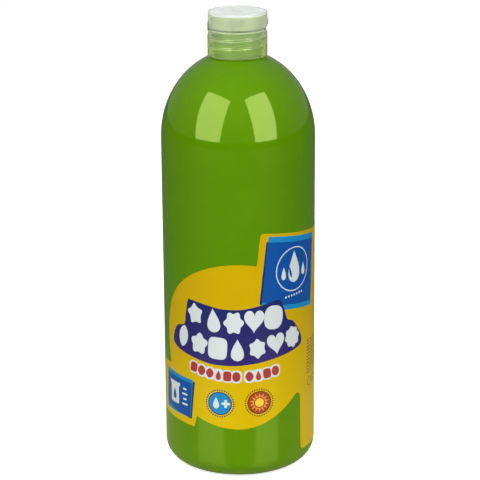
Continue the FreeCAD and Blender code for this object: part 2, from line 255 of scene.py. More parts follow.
def dome(lift, steps):
    """Points of the base's dome from near the axis to the standing ring, a circle's arc whose top
    is PUSH_UP above the ring: height = PUSH_UP - (R - sqrt(R^2 - r^2)) + lift."""
    curve = (STAND_INNER_RADIUS ** 2 + PUSH_UP ** 2) / (2.0 * PUSH_UP)
    r = np.linspace(STAND_INNER_RADIUS / steps, STAND_INNER_RADIUS, steps)
    return np.stack([r, PUSH_UP - curve + np.sqrt(curve ** 2 - r ** 2) + lift], -1)


def straight(start, end, step):
    """Points from start to end, about a step apart."""
    start, end = np.asarray(start, float), np.asarray(end, float)
    count = max(2, int(math.ceil(np.linalg.norm(end - start) / step)) + 1)
    return start + (end - start) * np.linspace(0.0, 1.0, count)[:, None]


def rounded(corners, closed, hold=0.12 * MM, steps=5):
    """A profile of straight sides with rounded corners. Each corner is (r, z, rounding): the arc
    touches both sides, and each side has a point hold beyond each arc, so that it shades flat."""
    corners = np.asarray(corners, float)
    places, count = [], len(corners)
    for i, (r, z, rounding) in enumerate(corners):
        here = np.array([r, z])
        if not closed and i in (0, count - 1):
            places.append(here[None])
            continue
        back = corners[i - 1, :2] - here
        on = corners[(i + 1) % count, :2] - here
        reach = min(np.linalg.norm(back), np.linalg.norm(on)) * 0.45
        back, on = back / np.linalg.norm(back), on / np.linalg.norm(on)
        half = math.acos(np.clip(back @ on, -1.0, 1.0)) / 2.0
        cut = min(rounding / math.tan(half), reach)
        t = np.linspace(0.0, 1.0, steps)[:, None]
        first, last = here + back * cut, here + on * cut
        bend = (1 - t) ** 2 * first + 2 * t * (1 - t) * here + t ** 2 * last
        near = min(hold, reach * 0.5)
        places += [(first + back * near)[None], bend, (last + on * near)[None]]
    return np.vstack(places)


def ridge(theta, z, start, angle, turns, height, root, crest):
    """Height of a right-handed thread's ridge over its wall at each place. The middle of the ridge
    climbs one pitch per turn from start at angle; across, it is a trapezoid from root to crest;
    along, it fades in and out over THREAD_FADE of a turn."""
    total = np.zeros(np.broadcast(theta, z).shape)
    share = np.mod(theta - angle, 2.0 * math.pi) / (2.0 * math.pi)
    for lap in range(int(math.ceil(turns))):
        along = lap + share
        away = np.abs(z - start - THREAD_PITCH * along)
        across = np.clip((root / 2.0 - away) / ((root - crest) / 2.0), 0.0, 1.0)
        ends = np.clip(np.minimum(along, turns - along) / THREAD_FADE, 0.0, 1.0)
        total = np.maximum(total, height * ease(across) * ease(ends))
    return total


def ease(x):
    """Smooth step from 0 to 1: 3x^2 - 2x^3 on the clipped value."""
    x = np.clip(x, 0.0, 1.0)
    return x * x * (3.0 - 2.0 * x)


def thread_start():
    """Height and angle of the lower end of the neck's thread."""
    return (MOUTH - THREAD_TOP_DROP - THREAD_PITCH * THREAD_TURNS,
            THREAD_TOP_ANGLE - 2.0 * math.pi * THREAD_TURNS)


# ==== Outlines on the label ====
def wrap(outline, radius):
    """Carries (distance round, height) in millimetres onto a cylinder: x = r sin(u/R),
    y = -r cos(u/R), z = v, with R the film's radius, so that widths stay true."""
    turn = outline[..., 0] * MM / FILM_RADIUS
    return np.stack([radius * np.sin(turn), -radius * np.cos(turn), outline[..., 1] * MM], -1)


def loop_curve(knots, samples):
    """A closed smooth curve through knots: Catmull-Rom, even samples in each span."""
    p = np.asarray(knots, float)
    before, after, next_two = np.roll(p, 1, 0), np.roll(p, -1, 0), np.roll(p, -2, 0)
    t = np.linspace(0.0, 1.0, samples, endpoint=False)[None, :, None]
    p, before, after, next_two = (a[:, None, :] for a in (p, before, after, next_two))
    curve = 0.5 * (2 * p + (after - before) * t + (2 * before - 5 * p + 4 * after - next_two) * t ** 2
                   + (3 * p - before - 3 * after + next_two) * t ** 3)
    return curve.reshape(-1, 2)


def soft_polygon(corners, rounding, samples=6, step=None):
    """A closed polygon with rounded corners, with points along its sides about a step apart."""
    corners = np.asarray(corners, float)
    count = len(corners)
    back, on = np.roll(corners, 1, 0) - corners, np.roll(corners, -1, 0) - corners
    lengths = np.linalg.norm(on, axis=1)
    cut = np.minimum(rounding, 0.45 * np.minimum(lengths, np.roll(lengths, 1)))
    first = corners + back / np.linalg.norm(back, axis=1)[:, None] * cut[:, None]
    last = corners + on / lengths[:, None] * cut[:, None]
    t = np.linspace(0.0, 1.0, samples)[:, None]
    pieces = []
    for i in range(count):
        pieces.append((1 - t) ** 2 * first[i] + 2 * t * (1 - t) * corners[i] + t ** 2 * last[i])
        if step:
            share = np.linspace(0.0, 1.0, int(lengths[i] / step) + 2)[1:-1, None]
            pieces.append(last[i] + (first[(i + 1) % count] - last[i]) * share)
    return np.vstack(pieces)


def petals(count, depth, samples=72, turn=0.0):
    """A round shape with petals: radius 1 + depth cos(count a), scaled to reach 1."""
    a = angles(samples)
    r = (1.0 + depth * np.cos(count * (a - turn))) / (1.0 + depth)
    return np.stack([r * np.cos(a), r * np.sin(a)], -1)


def round_shape(samples=56):
    """A circle of radius 1."""
    return petals(1, 0.0, samples)


def rays(count, inner, softness=0.25):
    """A star, one ray up: corners alternate between radius 1 and inner, and are then rounded."""
    a = 0.5 * math.pi + np.arange(2 * count) * math.pi / count
    r = np.where(np.arange(2 * count) % 2 == 0, 1.0, inner)
    return soft_polygon(np.stack([r * np.cos(a), r * np.sin(a)], -1), softness, 5)


def drop(samples=64):
    """A drop: x = sin a sin(a/2)^1.4 and y = cos a, point upwards."""
    a = angles(samples)
    return np.stack([0.92 * np.sin(a) * np.sin(a / 2.0) ** 1.4, np.cos(a)], -1)


def heart(samples=72):
    """A heart: x = sin^3 a and y from the first four cosines of a, brought to about one unit."""
    a = angles(samples)
    y = 13 * np.cos(a) - 5 * np.cos(2 * a) - 2 * np.cos(3 * a) - np.cos(4 * a)
    return np.stack([np.sin(a) ** 3, (y + 2.5) / 15.0], -1)


def leaf(samples=64):
    """A leaf: two arcs meeting in points, x = 0.62 sin a |sin a|^0.3 and y = cos a."""
    a = angles(samples)
    return np.stack([0.62 * np.sin(a) * np.abs(np.sin(a)) ** 0.3, np.cos(a)], -1)


def cushion(power=3.0, samples=64):
    """A soft square: superellipse |x|^p + |y|^p = 1."""
    a = angles(samples)
    c, s = np.cos(a), np.sin(a)
    r = (np.abs(c) ** power + np.abs(s) ** power) ** (-1.0 / power)
    return np.stack([r * c, r * s], -1)


def placed(shape, centre, width, height, tilt=0.0):
    """A unit shape scaled to a width and height, tilted by degrees, and moved to its centre."""
    c, s = math.cos(math.radians(tilt)), math.sin(math.radians(tilt))
    sized = shape * np.array([width, height]) / 2.0
    return sized @ np.array([[c, s], [-s, c]]) + np.asarray(centre, float)


def ink_faces(layer):
    """Radii of the underside and of the top of an ink layer."""
    under = FILM_RADIUS + INK_CLEARANCE + layer * INK_STEP
    return under, under + INK_THICKNESS


def ink(outline, layer, spacing=1.6):
    """A printed patch: rings from a middle out to the outline, on the film, at the height of its
    layer, and the same rings back underneath, so that the patch is a thin closed solid."""
    outline = np.asarray(outline, float)
    middle = (outline.min(0) + outline.max(0)) / 2.0
    rings = max(1, int(math.ceil(np.linalg.norm(outline - middle, axis=1).max() / spacing)))
    share = (np.arange(rings) + 1.0) / rings
    flat = middle + share[:, None, None] * (outline - middle)[None]
    under, top = ink_faces(layer)
    places = np.concatenate([wrap(flat, top), wrap(flat[::-1], under)])
    return grid(places, first_pole=wrap(middle, top), last_pole=wrap(middle, under))


def ink_ring(centre, outer, inner, layer):
    """A printed ring round a centre, between two diameters."""
    under, top = ink_faces(layer)
    outer, inner = (placed(round_shape(), centre, across, across) for across in (outer, inner))
    return grid(np.stack([wrap(outer, top), wrap(inner, top), wrap(inner, under), wrap(outer, under)]),
                loop_rows=True)


def patch(shape, centre, width, height, layer, tilt=0.0):
    """A unit shape printed in one ink layer: centre, width, height and tilt as in placed."""
    return ink(placed(shape, centre, width, height, tilt), layer)


# ==== Node groups and materials ====
# Grain of a finish: scale, depth, lowest roughness and highest roughness.
GRAIN_SHELL = (60.0, 0.01 * MM, 0.045, 0.075)
GRAIN_PAINT = (90.0, 0.04 * MM, 0.1, 0.2)
GRAIN_PRINT = (260.0, 0.0003 * MM, 0.27, 0.30)
GRAIN_FOAM = (1500.0, 0.06 * MM, 0.6, 0.8)
GRAIN_MOULDING = (500.0, 0.002 * MM, 0.19, 0.25)
CLOUD_MOULDING = (120.0, 0.2)
NECK_ROUGHNESS = 0.55


def node_group(name, inputs, outputs):
    """A new shader group. Inputs come by name with a default, which is a number or a colour, and
    outputs by name with a socket type."""
    group = bpy.data.node_groups.new(name, "ShaderNodeTree")
    for label, default in inputs.items():
        kind = "NodeSocketColor" if isinstance(default, tuple) else "NodeSocketFloat"
        group.interface.new_socket(label, in_out="INPUT", socket_type=kind).default_value = default
    for label, kind in outputs.items():
        group.interface.new_socket(label, in_out="OUTPUT", socket_type=kind)
    return group, group.nodes.new("NodeGroupInput"), group.nodes.new("NodeGroupOutput")


def add_node(tree, kind, **settings):
    """A node with its properties and inputs set: keys that name an input set its value."""
    node = tree.nodes.new(kind)
    for key, value in settings.items():
        if hasattr(node, key):
            setattr(node, key, value)
        else:
            node.inputs[key.replace("_", " ")].default_value = value
    return node


def calculation(tree, operation, first=None, second=None):
    """A Math node, with the numbers that are given set on its inputs."""
    node = add_node(tree, "ShaderNodeMath", operation=operation)
    for i, number in enumerate((first, second)):
        if number is not None:
            node.inputs[i].default_value = number
    return node


def ramp(tree, start, end, low=0.0, high=1.0, smooth=True):
    """A node that takes values between start and end to between low and high, eased if smooth."""
    node = add_node(tree, "ShaderNodeMapRange", interpolation_type="SMOOTHSTEP" if smooth else "LINEAR")
    for label, value in (("From Min", start), ("From Max", end), ("To Min", low), ("To Max", high)):
        node.inputs[label].default_value = value
    return node


def wire(tree, *joins):
    """Joins nodes: each join is a node, its output, the next node and its input."""
    for source, output, target, entry in joins:
        tree.links.new(source.outputs[output], target.inputs[entry])


def grain_group():
    """Fine grain: roughness from noise on object coordinates, and a normal bumped by it."""
    if "fine_grain" in bpy.data.node_groups:
        return bpy.data.node_groups["fine_grain"]
    group, source, result = node_group(
        "fine_grain", {"Scale": 400.0, "Depth": 0.02 * MM, "Low": 0.2, "High": 0.3},
        {"Roughness": "NodeSocketFloat", "Normal": "NodeSocketVector"})
    where = add_node(group, "ShaderNodeTexCoord")
    noise = add_node(group, "ShaderNodeTexNoise", Detail=4.0, Roughness=0.6)
    reach = ramp(group, 0.0, 1.0, smooth=False)
    bump = add_node(group, "ShaderNodeBump", Strength=1.0)
    wire(group, (where, "Object", noise, "Vector"), (source, "Scale", noise, "Scale"),
         (noise, "Fac", reach, "Value"), (source, "Low", reach, "To Min"),
         (source, "High", reach, "To Max"), (noise, "Fac", bump, "Height"),
         (source, "Depth", bump, "Distance"), (reach, "Result", result, "Roughness"),
         (bump, "Normal", result, "Normal"))
    return group


def tone_group():
    """Two tones: mixes two colours by height between two levels, with soft clouds over it."""
    if "two_tones" in bpy.data.node_groups:
        return bpy.data.node_groups["two_tones"]
    group, source, result = node_group(
        "two_tones", {"Lower": (0.5, 0.5, 0.5, 1.0), "Upper": (0.8, 0.8, 0.8, 1.0), "Bottom": 0.0,
                      "Top": 0.1, "Cloud Scale": 30.0, "Cloud": 0.3}, {"Color": "NodeSocketColor"})
    where = add_node(group, "ShaderNodeTexCoord")
    split = add_node(group, "ShaderNodeSeparateXYZ")
    level = ramp(group, 0.0, 1.0)
    noise = add_node(group, "ShaderNodeTexNoise", Detail=2.0)
    lean = calculation(group, "SUBTRACT", second=0.5)
    push = calculation(group, "MULTIPLY_ADD")
    push.use_clamp = True
    mix = add_node(group, "ShaderNodeMix", data_type="RGBA")
    wire(group, (where, "Object", split, "Vector"), (split, "Z", level, "Value"),
         (source, "Bottom", level, "From Min"), (source, "Top", level, "From Max"),
         (where, "Object", noise, "Vector"), (source, "Cloud Scale", noise, "Scale"),
         (noise, "Fac", lean, 0), (lean, "Value", push, 0), (source, "Cloud", push, 1),
         (level, "Result", push, 2), (push, "Value", mix, "Factor"), (source, "Lower", mix, "A"),
         (source, "Upper", mix, "B"), (mix, "Result", result, "Color"))
    return group


def new_material(name, **values):
    """A material with its Principled shader joined to its output, and values set on the shader."""
    material = bpy.data.materials.new(name)
    material.use_nodes = True
    tree = material.node_tree
    tree.nodes.clear()
    shader = add_node(tree, "ShaderNodeBsdfPrincipled", **values)
    wire(tree, (shader, "BSDF", tree.nodes.new("ShaderNodeOutputMaterial"), "Surface"))
    return material, tree, shader


def finish(tree, shader, lower, upper, bottom, top, grain, cloud=(30.0, 0.3)):
    """Joins the two shared groups to a shader: colours between two heights, with clouds given as
    (scale, strength), and grain given as (scale, depth, lowest roughness, highest roughness)."""
    tone = add_node(tree, "ShaderNodeGroup", node_tree=tone_group(), Lower=(*lower, 1.0),
                    Upper=(*upper, 1.0), Bottom=bottom, Top=top, Cloud_Scale=cloud[0], Cloud=cloud[1])
    speck = add_node(tree, "ShaderNodeGroup", node_tree=grain_group(), Scale=grain[0],
                     Depth=grain[1], Low=grain[2], High=grain[3])
    wire(tree, (tone, "Color", shader, "Base Color"), (speck, "Roughness", shader, "Roughness"),
         (speck, "Normal", shader, "Normal"))
    return tone, speck


def shell_material(colours):
    """Clear shell with green paint behind it: the paint's colour under a tinted polished surface, a
    little paler towards the top of the shoulder as painted light, and a matt neck painted paler for
    the light that comes through the closure."""
    material, tree, shader = new_material("green_shell", IOR=1.57,
                                          Specular_Tint=(*colours.gloss_tint, 1.0))
    # The upper colour is painted light: paler where light falls on the top of the shoulder.
    side, speck = finish(tree, shader, colours.shell_low, colours.shell_top_painted_light, 150 * MM, 224 * MM,
                         GRAIN_SHELL, (18.0, 0.25))
    # The neck's paler colour is painted light, for light that comes through the closure.
    neck_foot = SKIRT_BOTTOM + 0.5 * MM
    neck = add_node(tree, "ShaderNodeGroup", node_tree=tone_group(), Upper=(*colours.neck, 1.0),
                    Bottom=neck_foot, Top=neck_foot + 2.5 * MM, Cloud_Scale=90.0, Cloud=0.2)
    where = add_node(tree, "ShaderNodeTexCoord")
    split = add_node(tree, "ShaderNodeSeparateXYZ")
    rough = ramp(tree, neck_foot, neck_foot + 1.0 * MM, high=NECK_ROUGHNESS, smooth=False)
    most = calculation(tree, "MAXIMUM")
    wire(tree, (side, "Color", neck, "Lower"), (neck, "Color", shader, "Base Color"),
         (where, "Object", split, "Vector"), (split, "Z", rough, "Value"), (rough, "Result", most, 0),
         (speck, "Roughness", most, 1), (most, "Value", shader, "Roughness"))
    return material


def paint_material(colours):
    """Wet paint, a little paler towards its top as painted light."""
    material, tree, shader = new_material("wet_paint", IOR=1.45)
    # The upper colour is painted light: a little paler towards the top.
    finish(tree, shader, colours.shell_low, colours.shell_top_painted_light, 0.0, 0.2, GRAIN_PAINT)
    return material


def film_material(colours):
    """Printed film: yellow, with golden clouds, under a satin varnish."""
    material, tree, shader = new_material("varnished_film", IOR=1.45,
                                          Specular_Tint=(1.0, 0.85, 0.25, 1.0))
    finish(tree, shader, colours.film_low, colours.film_high, 25 * MM, 110 * MM, GRAIN_PRINT, (22.0, 0.9))
    return material


def ink_material(name, lower, upper=None, bottom=0.0, top=1.0):
    """Ink on the film, from one colour at the height bottom to another at top, or all one colour."""
    name = "ink_" + name
    if name in bpy.data.materials:
        return bpy.data.materials[name]
    material, tree, shader = new_material(name, IOR=1.32)
    finish(tree, shader, lower, lower if upper is None else upper, bottom, top, GRAIN_PRINT, (60.0, 0.25))
    return material


def closure_material(colours, stained):
    """Natural moulding plastic, milky and lightly frosted, with painted light that makes the lid's top
    paler and bluer. Where stained, it takes colour from the paint behind its skirt, and from paint in
    the nozzle, within a few millimetres of the axis."""
    name = "stained_moulding" if stained else "milky_moulding"
    if name in bpy.data.materials:
        return bpy.data.materials[name]
    clear = colours.clear_base if stained else colours.clear_lid
    material, tree, shader = new_material(name, IOR=1.36, Transmission_Weight=clear)
    if not stained:
        # The lid's top goes to the crown colour: painted light, paler and bluer where the overhead light
        # falls.
        finish(tree, shader, colours.plastic, colours.crown_painted_light, LID_CROWN - 1.6 * MM,
               LID_CROWN - 0.4 * MM, GRAIN_MOULDING, CLOUD_MOULDING)
        return material
    tone, _ = finish(tree, shader, colours.skirt, colours.plastic, SKIRT_BOTTOM + 4.0 * MM,
                     DECK + 1.0 * MM, GRAIN_MOULDING, CLOUD_MOULDING)
    where = add_node(tree, "ShaderNodeTexCoord")
    flat = add_node(tree, "ShaderNodeVectorMath", operation="MULTIPLY")
    flat.inputs[1].default_value = (1.0, 1.0, 0.0)
    reach = add_node(tree, "ShaderNodeVectorMath", operation="LENGTH")
    stain = ramp(tree, STAIN_RADIUS, STAIN_RADIUS + STAIN_FADE, 1.0, 0.0)
    mix = add_node(tree, "ShaderNodeMix", data_type="RGBA")
    mix.inputs["B"].default_value = (*colours.nozzle, 1.0)
    wire(tree, (where, "Object", flat, 0), (flat, "Vector", reach, 0), (reach, "Value", stain, "Value"),
         (stain, "Result", mix, "Factor"), (tone, "Color", mix, "A"),
         (mix, "Result", shader, "Base Color"))
    return material


def foam_material(colours):
    """Closed-cell foam of the washer."""
    material, tree, shader = new_material("cell_foam")
    finish(tree, shader, colours.foam, colours.foam, 0.0, 0.1, GRAIN_FOAM)
    return material


# ==== Settings ====
def colour(name, description, default):
    """A colour property, in linear red, green and blue."""
    return bpy.props.FloatVectorProperty(name=name, description=description, subtype="COLOR",
                                         size=3, min=0.0, max=1.0, default=default)


class PaintBottleColours(bpy.types.PropertyGroup):
    """Colours of the finishes, in linear light."""
    shell_low: colour("Shell, lower", "Paint seen through the shell's side", (0.058, 0.160, 0.0))
    # Painted light: a little paler than the lower colour, for light falling on the top of the shoulder.
    shell_top_painted_light: colour("Shell, upper", "Paint seen through the top of the shoulder", (0.064, 0.168, 0.0))
    # Painted light: paler than the shell, where light comes through the closure.
    neck: colour("Neck", "Paint on the inside of the neck, where light comes through", (0.145, 0.30, 0.004))
    gloss_tint: colour("Gloss tint", "Tint of reflections from the shell", (0.86, 1.0, 0.28))
    film_low: colour("Film, lower", "Golden part of the label", (0.44, 0.30, 0.001))
    film_high: colour("Film, upper", "Yellow part of the label", (0.385, 0.25, 0.000))
    blue: colour("Blue", "Blue of the panels", (0.000, 0.050, 0.235))
    sky: colour("Sky", "Light blue of the panels", (0.004, 0.155, 0.36))
    navy: colour("Navy", "Dark blue behind the panels", (0.006, 0.012, 0.085))
    purple: colour("Purple", "Banner", (0.020, 0.012, 0.105))
    white: colour("White", "White ink", (0.43, 0.47, 0.49))
    red: colour("Red", "Red ink", (0.26, 0.026, 0.022))
    brown: colour("Brown", "Fine lines", (0.10, 0.05, 0.010))
    badge: colour("Badge blue", "Face of the blue badge", (0.004, 0.150, 0.36))
    rust: colour("Rust", "Rim and dots of the sun badge", (0.10, 0.012, 0.004))
    ember: colour("Ember", "Face of the sun badge", (0.22, 0.032, 0.012))
    orange: colour("Orange", "Rays of the sun", (0.62, 0.22, 0.03))
    gold: colour("Gold", "Middle of the sun", (0.60, 0.38, 0.040))
    plastic: colour("Plastic", "Natural plastic of the closure", (0.70, 0.77, 0.56))
    # Painted light: the lid's top made whiter and bluer than the plastic, where the overhead light falls.
    crown_painted_light: colour("Crown", "Top of the lid", (0.94, 0.97, 1.0))
    skirt: colour("Skirt", "Plastic of the skirt, with paint behind it", (0.60, 0.75, 0.31))
    nozzle: colour("Nozzle", "Plastic of the nozzle, with paint in it", (0.28, 0.42, 0.0))
    foam: colour("Foam", "Sealing washer", (0.82, 0.82, 0.79))
    clear_base: bpy.props.FloatProperty(name="Clear base", default=0.88, min=0.0, max=1.0, subtype="FACTOR",
                                        description="Share of light that goes through the closure's base")
    clear_lid: bpy.props.FloatProperty(name="Clear lid", default=0.72, min=0.0, max=1.0, subtype="FACTOR",
                                       description="Share of light that goes through the lid")


class PaintBottleSizes(bpy.types.PropertyGroup):
    """Fineness of the meshes and small surface details."""
    columns: bpy.props.IntProperty(name="Columns", description="Points round a turned piece",
                                   default=192, min=48, max=512)
    thread_rows: bpy.props.FloatProperty(name="Thread rows", description="Height between rows on a thread",
                                         default=0.16 * MM, unit="LENGTH")
    seam: bpy.props.FloatProperty(name="Seam", description="Height of the shell's parting line",
                                  default=0.05 * MM, unit="LENGTH")
    gate: bpy.props.FloatProperty(name="Gate mark", description="Depth of the dimple in the lid's top",
                                  default=0.15 * MM, unit="LENGTH")


# ==== Pieces ====
def spread(profile, columns):
    """Angles, heights and radii over a turned profile: a row per point, a column per angle."""
    return angles(columns)[None, :], profile[:, 1:], np.repeat(profile[:, :1], columns, axis=1)


def on_axis(height):
    """The place on the bottle's axis at a height."""
    return 0.0, 0.0, height


class PAINTBOTTLE_OT_bottle(bpy.types.Operator):
    """Blow-moulded shell: a turned wall with a threaded neck and a faint parting line"""
    bl_idname = "paint_bottle.bottle"
    bl_label = "Bottle shell"

    def execute(self, context):
        sizes, colours = context.scene.paint_bottle_sizes, context.scene.paint_bottle_colours
        stand = BODY_RADIUS - HEEL_RADIUS
        foot = NECK_RADIUS + NECK_FILLET
        foot_height = shoulder(0.0, foot, foot, 1)[0, 1]
        bore_foot = shoulder(WALL, NECK_BORE, NECK_BORE, 1)[0, 1]
        bore_edge = 0.2 * MM
        skin = np.vstack([
            dome(0.0, 14),
            straight((STAND_INNER_RADIUS + 0.4 * MM, 0.0), (stand, 0.0), 2.0 * MM),
            arc((stand, HEEL_RADIUS), HEEL_RADIUS, -90, 0, 18)[1:],
            straight((BODY_RADIUS, HEEL_RADIUS), (BODY_RADIUS, SHOULDER_BASE), 8.0 * MM)[1:],
            shoulder(0.0, BODY_RADIUS, foot, 56)[1:],
            arc((foot, foot_height + NECK_FILLET), NECK_FILLET, 270, 180, 7)[1:],
            straight((NECK_RADIUS, foot_height + NECK_FILLET), (NECK_RADIUS, MOUTH - MOUTH_EDGE),
                     sizes.thread_rows)[1:],
            arc((NECK_RADIUS - MOUTH_EDGE, MOUTH - MOUTH_EDGE), MOUTH_EDGE, 0, 90, 6)[1:]])
        inside = np.vstack([
            straight((NECK_BORE + bore_edge, MOUTH), (NECK_BORE, MOUTH - bore_edge), 0.5 * bore_edge),
            straight((NECK_BORE, MOUTH - 2.0 * bore_edge), (NECK_BORE, bore_foot), 2.0 * MM),
            shoulder(WALL, NECK_BORE, BODY_RADIUS - WALL, 40)[1:],
            straight((BODY_RADIUS - WALL, SHOULDER_BASE), (BODY_RADIUS - WALL, HEEL_RADIUS), 20.0 * MM)[1:],
            arc((stand, HEEL_RADIUS), HEEL_RADIUS - WALL, 0, -90, 12)[1:],
            dome(WALL, 14)[::-1]])
        profile = np.vstack([skin, inside])
        theta, z, radius = spread(profile, sizes.columns)
        start, angle = thread_start()
        outer = np.arange(len(profile))[:, None] < len(skin)
        on_neck = outer & (z > foot_height + 0.5 * NECK_FILLET)
        radius = radius + on_neck * ridge(theta, z, start, angle, THREAD_TURNS, THREAD_HEIGHT,
                                          THREAD_ROOT, THREAD_CREST)
        seam = np.exp(-(np.sin(theta) * BODY_RADIUS / SEAM_WIDTH) ** 2)
        on_side = outer * ease((z - 2.0 * MM) / (6.0 * MM)) * (z < foot_height)
        radius = radius - sizes.seam * seam * on_side
        wall = grid(turned(radius, profile[:, 1], sizes.columns), first_pole=on_axis(PUSH_UP),
                    last_pole=on_axis(PUSH_UP + WALL))
        shell = make_piece("bottle_shell", [wall], shell_material(colours), "bottle")
        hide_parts("bottle")
        return {"FINISHED"}


class PAINTBOTTLE_OT_paint(bpy.types.Operator):
    """The paint inside the shell, with a meniscus that climbs the wall"""
    bl_idname = "paint_bottle.paint"
    bl_label = "Paint"

    def execute(self, context):
        inset = WALL + PAINT_GAP
        stand = BODY_RADIUS - HEEL_RADIUS
        level = FILL_HIGH.z
        across, rise = BODY_RADIUS - inset, SHOULDER_RISE - inset
        edge = across * math.sqrt(1.0 - ((level - SHOULDER_BASE) / rise) ** 2)
        r = np.linspace(edge, 1.0 * MM, 24)
        meniscus = level - MENISCUS_HEIGHT * (1.0 - np.exp(-(edge - r) / MENISCUS_REACH))
        profile = np.vstack([
            dome(inset, 10),
            arc((stand, HEEL_RADIUS), HEEL_RADIUS - inset, -90, 0, 12),
            straight((across, HEEL_RADIUS), (across, SHOULDER_BASE), 20.0 * MM)[1:],
            shoulder(inset, across, edge, 20)[1:],
            np.stack([r, meniscus], -1)[1:]])
        body = grid(turned(profile[:, 0], profile[:, 1], 96), first_pole=on_axis(PUSH_UP + inset),
                    last_pole=on_axis(meniscus[-1]))
        paint = make_piece("paint_body", [body], paint_material(context.scene.paint_bottle_colours),
                           "bottle")
        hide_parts("paint_fill")
        return {"FINISHED"}


def printed(name, shapes, material):
    """One piece printed on the label. Its outlines are in millimetres: distance round the body from
    the front, and height."""
    return make_piece(name, shapes, material, "bottle", INK_CRISP)


class PAINTBOTTLE_OT_film(bpy.types.Operator):
    """The label's yellow film, with the die-cut shape of the frame's, and its outer face drawn in by
    the height of the inks"""
    bl_idname = "paint_bottle.film"
    bl_label = "Label film"

    def execute(self, context):
        whole = frame["nodes"]["wrap_label"].data
        whole.calc_loop_triangles()
        points = np.empty(3 * len(whole.vertices))
        corners = np.empty(3 * len(whole.loop_triangles), dtype=np.int32)
        whole.vertices.foreach_get("co", points)
        whole.loop_triangles.foreach_get("vertices", corners)
        points = points.reshape(-1, 3)
        _, first, member = np.unique(np.round(points / (0.001 * MM)), axis=0,
                                     return_index=True, return_inverse=True)
        points = points[first]
        corners = member.reshape(-1)[corners].reshape(-1, 3)
        radius = np.hypot(points[:, 0], points[:, 1])
        outer = radius > WRAP_RADIUS - 0.02 * MM
        points[outer, :2] *= (FILM_RADIUS / radius[outer])[:, None]
        film = printed("printed_film", [(points, np.empty((0, 4), int), corners)],
                       film_material(context.scene.paint_bottle_colours))
        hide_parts("wrap_label")
        return {"FINISHED"}


def inks(colours, *names):
    """Inks of one colour each, by the names of their settings."""
    return [ink_material(name, getattr(colours, name)) for name in names]


def panel(name, dark, light, face, materials):
    """A blue panel: a dark and a light backing, and the face on both, each by its corners."""
    for layer, (label, corners, material) in enumerate(zip(("_dark", "_light", "_face"),
                                                           (dark, light, face), materials)):
        printed(name + label, [ink(soft_polygon(corners, 0.7, step=1.5), layer)], material)


class PAINTBOTTLE_OT_panels(bpy.types.Operator):
    """The two blue panels of the label, with a drop emblem on one and a beaker on the other"""
    bl_idname = "paint_bottle.panels"
    bl_label = "Blue panels"

    def execute(self, context):
        navy, sky, blue, white = inks(context.scene.paint_bottle_colours, "navy", "sky", "blue", "white")
        panel("corner_panel", [(14.7, 133.5), (19.0, 133.2), (16.5, 97.4), (10.7, 99.6)],
              [(16.0, 136.2), (51.8, 131.4), (49.4, 91.4), (24.0, 94.8), (12.0, 99.0)],
              [(15.4, 133.2), (51.2, 128.4), (48.8, 94.2), (24.0, 97.5), (12.1, 100.6)],
              (navy, sky, blue))
        panel("measure_panel", [(-29.0, 53.2), (-25.6, 54.2), (-28.0, 32.3), (-31.0, 32.6)],
              [(-50.3, 56.4), (-26.8, 54.8), (-28.8, 33.0), (-51.9, 33.2)],
              [(-50.3, 54.2), (-27.6, 52.8), (-29.2, 32.6), (-51.4, 35.6)], (navy, sky, blue))
        emblem = [ink_ring((32.3, 115.9), 24.4, 23.2, 3),
                  patch(drop(), (32.3, 117.4), 12.6, 17.4, 3)]
        emblem += [patch(drop(48), (u, 114.6), 4.4, 7.0, 3) for u in (25.0, 39.8)]
        emblem += [patch(round_shape(16), (32.4 + i * 2.0, 101.6 + 0.14 * i), 1.2, 1.2, 3)
                   for i in range(-3, 4)]
        printed("drop_emblem", emblem, white)
        printed("drop_emblem_glint", [patch(leaf(), (29.6, 114.4), 2.4, 6.4, 4, 14.0)], blue)
        beaker = soft_polygon([(-47.0, 50.4), (-36.8, 50.4), (-36.8, 49.0), (-38.0, 49.0), (-38.0, 38.2),
                               (-45.8, 38.2), (-45.8, 49.0), (-47.0, 49.0)], 1.0, step=1.0)
        rows = [patch(cushion(6.0, 24), (-33.0, 39.6 + 2.9 * i), 4.2 - 1.6 * (i % 2), 1.1, 3)
                for i in range(4)]
        printed("beaker_sign", [ink(beaker, 3)] + rows, white)
        printed("beaker_drop", [patch(drop(40), (-41.9, 43.6), 4.6, 6.4, 4)], blue)
        return {"FINISHED"}


def smile(u, middle, lift):
    """Height of a row of shapes at a distance round: a parabola, lowest at the front."""
    return middle + lift * u * u


